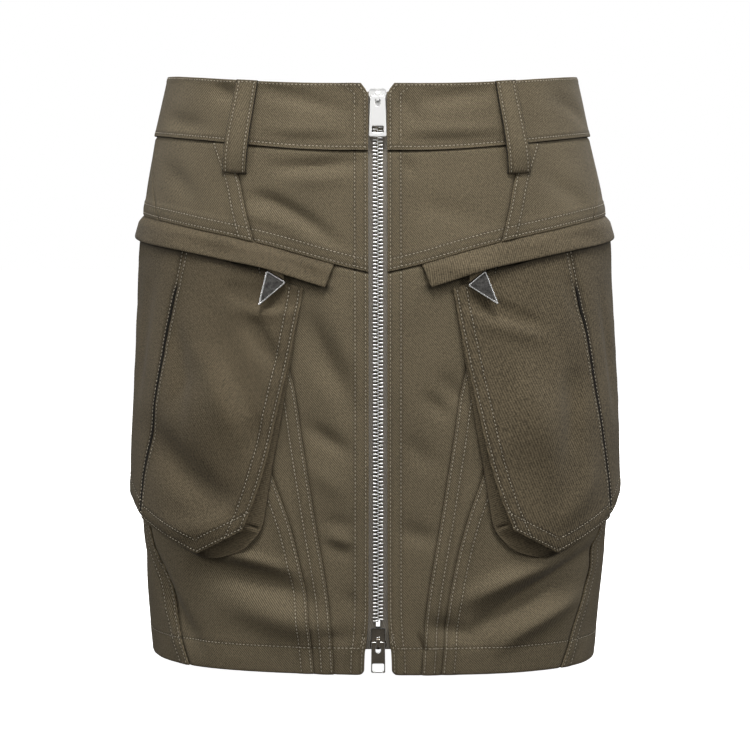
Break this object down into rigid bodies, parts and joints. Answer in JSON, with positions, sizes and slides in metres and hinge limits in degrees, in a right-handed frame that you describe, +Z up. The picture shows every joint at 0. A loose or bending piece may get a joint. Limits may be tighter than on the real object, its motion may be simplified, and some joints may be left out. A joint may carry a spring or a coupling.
{
  "type": "cargo utility skirt",
  "caption": "Short cotton twill utility skirt, hollow as worn, with a full-length two-way front zip, belt loops, slanted flaps and bellows cargo pockets.",
  "frame": {"origin": "centre of the waist opening, level with the top of the waistband at the sides", "axes": "+Z up towards the waist, +X to the right as seen from the front, and the front, with the zip, faces -Y"},
  "size_m": [0.338, 0.2501, 0.4004],
  "materials": {
    "twill_body": "olive khaki cotton twill, matt, with fine diagonal ribs",
    "twill_pockets": "the same olive khaki twill, laid on other grains",
    "zip_tape": "woven zip tape, dull olive grey",
    "bright_nickel": "polished nickel",
    "dark_nickel": "nickel, duller and darker in its recesses",
    "aged_silver": "dark mottled face with a bright bevelled rim"
  },
  "bodies": {
    "skirt": {"waistband_l": "twill_body", "waistband_r": "twill_body", "yoke_front_l": "twill_body", "yoke_front_r": "twill_body", "yoke_side_l": "twill_body", "yoke_side_r": "twill_body", "yoke_back_l": "twill_body", "yoke_back_r": "twill_body", "front_centre_l": "twill_body", "front_centre_r": "twill_body", "front_insert_l": "twill_body", "front_insert_r": "twill_body", "front_side_l": "twill_body", "front_side_r": "twill_body", "back_l": "twill_body", "back_r": "twill_body", "pocket_face_l": "twill_pockets", "pocket_face_r": "twill_pockets", "pocket_side_l": "twill_pockets", "pocket_side_r": "twill_pockets", "pocket_gusset_l": "twill_pockets", "pocket_gusset_r": "twill_pockets", "flap_l": "twill_pockets", "flap_r": "twill_pockets", "drop_tab_l": "twill_pockets", "drop_tab_r": "twill_pockets", "loop_front_l": "twill_pockets", "loop_front_r": "twill_pockets", "loop_back_l": "twill_pockets", "loop_back_r": "twill_pockets", "loop_back_centre": "twill_pockets", "zip_tape_l": "zip_tape", "zip_tape_r": "zip_tape", "zip_chain": "bright_nickel", "zip_slider_top": "bright_nickel", "zip_slider_bottom": "dark_nickel"},
    "pull_top": {"zip_pull_top": "bright_nickel"},
    "pull_bottom": {"zip_pull_bottom": "dark_nickel"},
    "drop_l": {"triangle_drop_l": "aged_silver"},
    "drop_r": {"triangle_drop_r": "aged_silver"}
  },
  "joints": [
    {"name": "pull_top_swing", "type": "hinge", "parent": "skirt", "child": "pull_top", "pos_m": [0, -0.10082, -0.01777], "axis": [-1, 0, 0], "range_deg": [0, 165]},
    {"name": "pull_bottom_swing", "type": "hinge", "parent": "skirt", "child": "pull_bottom", "pos_m": [0, -0.11945, -0.37708], "axis": [-1, 0, 0], "range_deg": [0, 160]},
    {"name": "drop_l_swing", "type": "hinge", "parent": "skirt", "child": "drop_l", "pos_m": [-0.06715, -0.11031, -0.13629], "axis": [-0.8402, 0.213, 0.4987], "range_deg": [0, 50]},
    {"name": "drop_r_swing", "type": "hinge", "parent": "skirt", "child": "drop_r", "pos_m": [0.06533, -0.11073, -0.13729], "axis": [-0.7637, -0.1992, -0.6141], "range_deg": [0, 50]}
  ]
}
